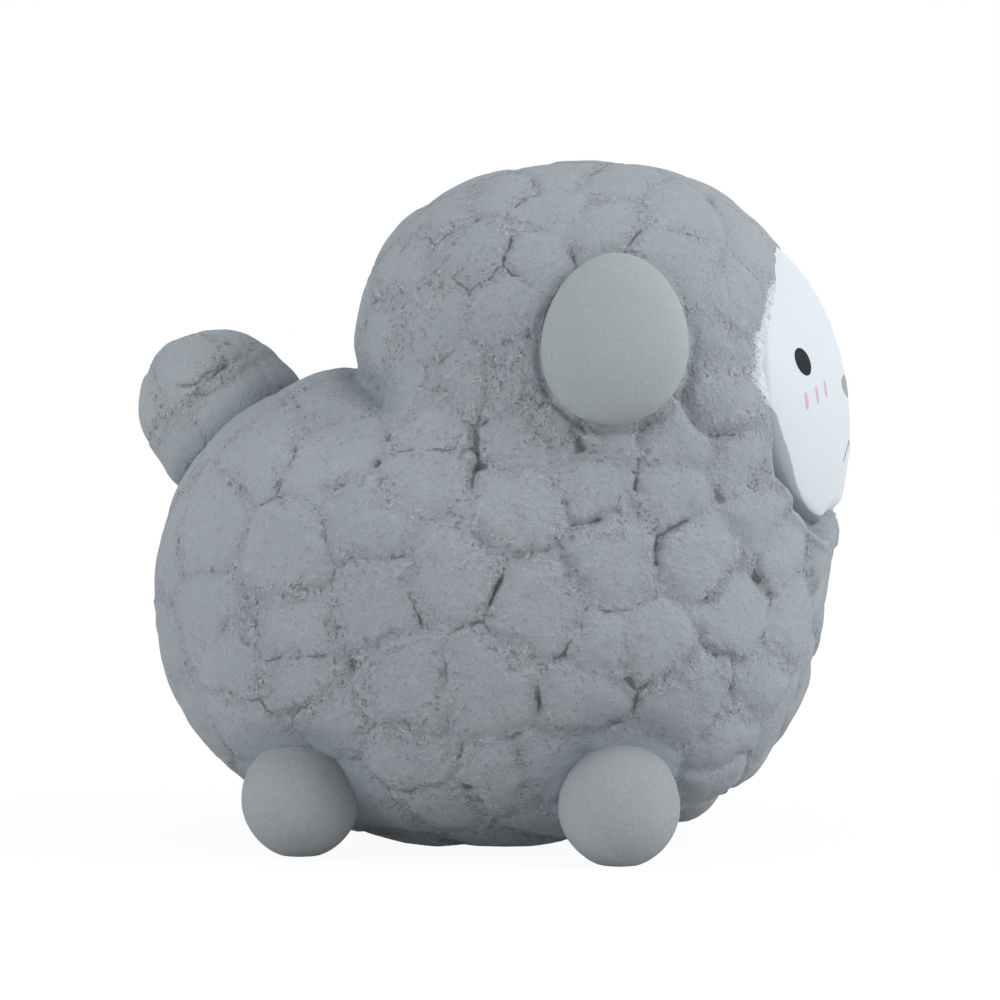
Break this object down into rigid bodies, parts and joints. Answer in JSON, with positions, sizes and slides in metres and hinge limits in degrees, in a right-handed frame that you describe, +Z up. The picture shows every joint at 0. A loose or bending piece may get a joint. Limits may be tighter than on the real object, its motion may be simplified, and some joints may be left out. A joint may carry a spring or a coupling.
{
  "type": "squeezable foam toy sheep",
  "caption": "Squeezable foam toy sheep with cobbled moulded wool, a smooth bulging face, egg-shaped ears, ball feet and a lumpy tail; head, ears and tail give and spring back.",
  "frame": {"origin": "on the floor, under the middle of the toy's bounding box", "axes": "+X forward, out of the face; +Y to the sheep's left; +Z up"},
  "size_m": [0.1059, 0.0824, 0.0989],
  "materials": {
    "foam": "matt grey skin on slow-rising polyurethane foam",
    "face_paint": "satin white paint on foam",
    "eye_ink": "near-black print",
    "nose_ink": "grey print",
    "mouth_ink": "dark grey print",
    "blush_ink": "pink print"
  },
  "bodies": {
    "torso": {"body": "foam", "neck": "foam", "tail_root": "foam", "foot_front_left": "foam", "foot_front_right": "foam", "foot_rear_left": "foam", "foot_rear_right": "foam"},
    "head": {"head": "foam", "face": "face_paint", "eye_left": "eye_ink", "eye_right": "eye_ink", "nose": "nose_ink", "mouth": "mouth_ink", "blush_left_1": "blush_ink", "blush_left_2": "blush_ink", "blush_left_3": "blush_ink", "blush_right_1": "blush_ink", "blush_right_2": "blush_ink", "blush_right_3": "blush_ink"},
    "ear_left": {"ear_left": "foam"},
    "ear_right": {"ear_right": "foam"},
    "tail": {"tail": "foam"}
  },
  "joints": [
    {"name": "head_press", "type": "slide", "parent": "torso", "child": "head", "axis": [-0.3746, 0, -0.9272], "range_m": [0, 0.01], "stiffness_N_per_m": 450, "springref_m": -0.001, "deforming": ["neck"]},
    {"name": "ear_left_lift", "type": "hinge", "parent": "head", "child": "ear_left", "pos_m": [0.0243, 0.0322, 0.082], "axis": [1, 0, 0], "range_deg": [0, 20], "stiffness_Nm_per_rad": 0.004, "springref_deg": -5.73},
    {"name": "ear_right_lift", "type": "hinge", "parent": "head", "child": "ear_right", "pos_m": [0.0243, -0.0322, 0.082], "axis": [-1, 0, 0], "range_deg": [0, 20], "stiffness_Nm_per_rad": 0.004, "springref_deg": -5.73},
    {"name": "tail_bend", "type": "hinge", "parent": "torso", "child": "tail", "pos_m": [-0.03829, 0, 0.06008], "axis": [0, 1, 0], "range_deg": [-15, 15], "stiffness_Nm_per_rad": 0.006, "deforming": ["tail_root"]}
  ]
}
